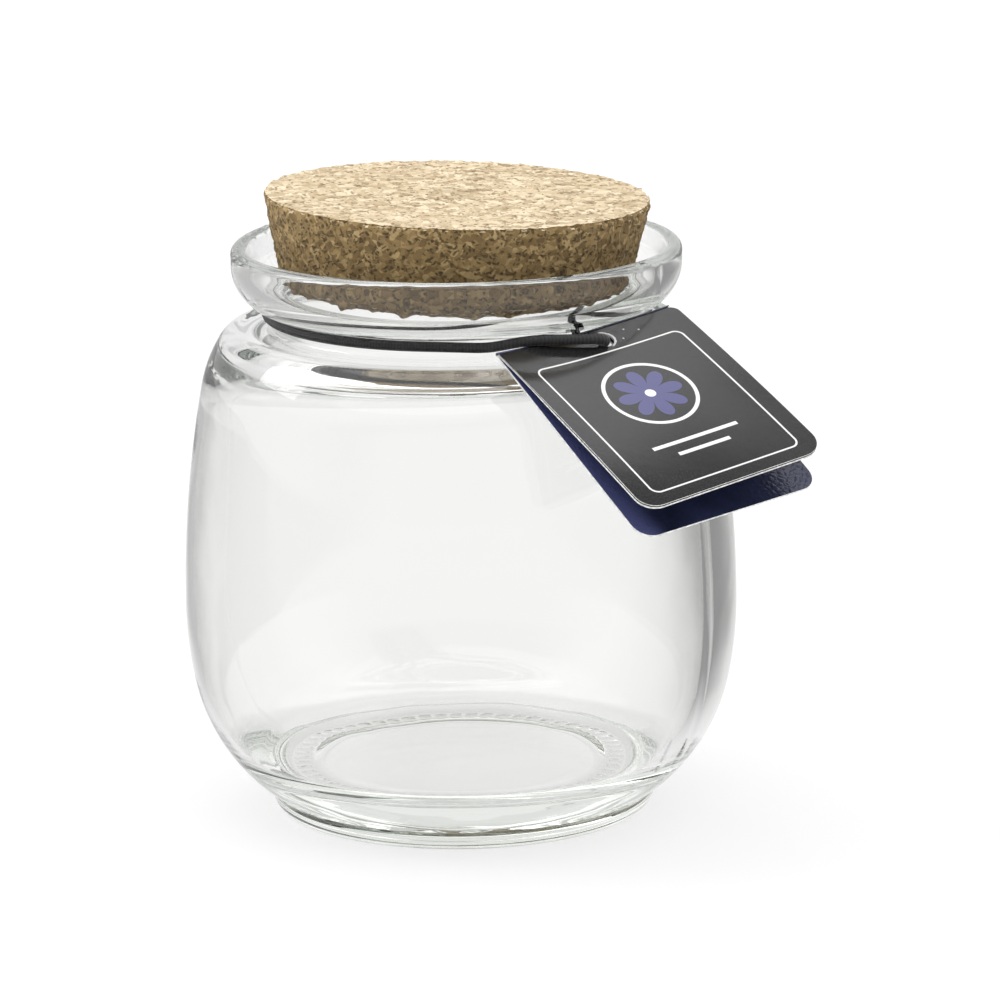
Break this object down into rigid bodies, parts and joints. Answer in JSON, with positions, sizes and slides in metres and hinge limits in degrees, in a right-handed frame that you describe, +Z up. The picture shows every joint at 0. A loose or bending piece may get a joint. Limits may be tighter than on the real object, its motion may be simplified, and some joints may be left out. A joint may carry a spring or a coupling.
{
  "type": "glass jar with cork lid",
  "caption": "Round glass storage jar with a bulging body, a tapered cork stopper and an elastic cord round the neck that carries a folded card tag.",
  "frame": {"origin": "centre of the foot's underside, on the plane that the jar stands on", "axes": "+Z up along the jar's axis, -Y towards the viewer, +X to the right; the tag hangs towards +X and -Y"},
  "size_m": [0.1103, 0.1206, 0.1128],
  "materials": {
    "glass": "smooth pressed glass",
    "cork": "pressed cork granules",
    "elastic": "braided cover",
    "card": "gloss laminate"
  },
  "bodies": {
    "jar": {"glass_jar": "glass"},
    "cork": {"cork_stopper": "cork"},
    "elastic": {"elastic_band": "elastic", "elastic_knot": "elastic"},
    "tag_back": {"tag_back_leaf": "card"},
    "tag_front": {"tag_front_leaf": "card"}
  },
  "joints": [
    {"name": "cork_lift", "type": "slide", "parent": "jar", "child": "cork", "axis": [0, 0, 1], "range_m": [0, 0.045]},
    {"name": "band_turn", "type": "hinge", "parent": "jar", "child": "elastic", "pos_m": [0, 0, 0.0907], "axis": [0, 0, 1], "continuous": true},
    {"name": "tag_swing", "type": "hinge", "parent": "elastic", "child": "tag_back", "pos_m": [0.02499, -0.03113, 0.09034], "axis": [-0.8169, -0.5656, -0.1132], "range_deg": [0, 10]},
    {"name": "tag_fold", "type": "hinge", "parent": "tag_back", "child": "tag_front", "pos_m": [0.02105, -0.0304, 0.0917], "axis": [0.8169, 0.5656, 0.1132], "range_deg": [0, 8], "stiffness_Nm_per_rad": 0.003, "springref_deg": -5.73}
  ]
}
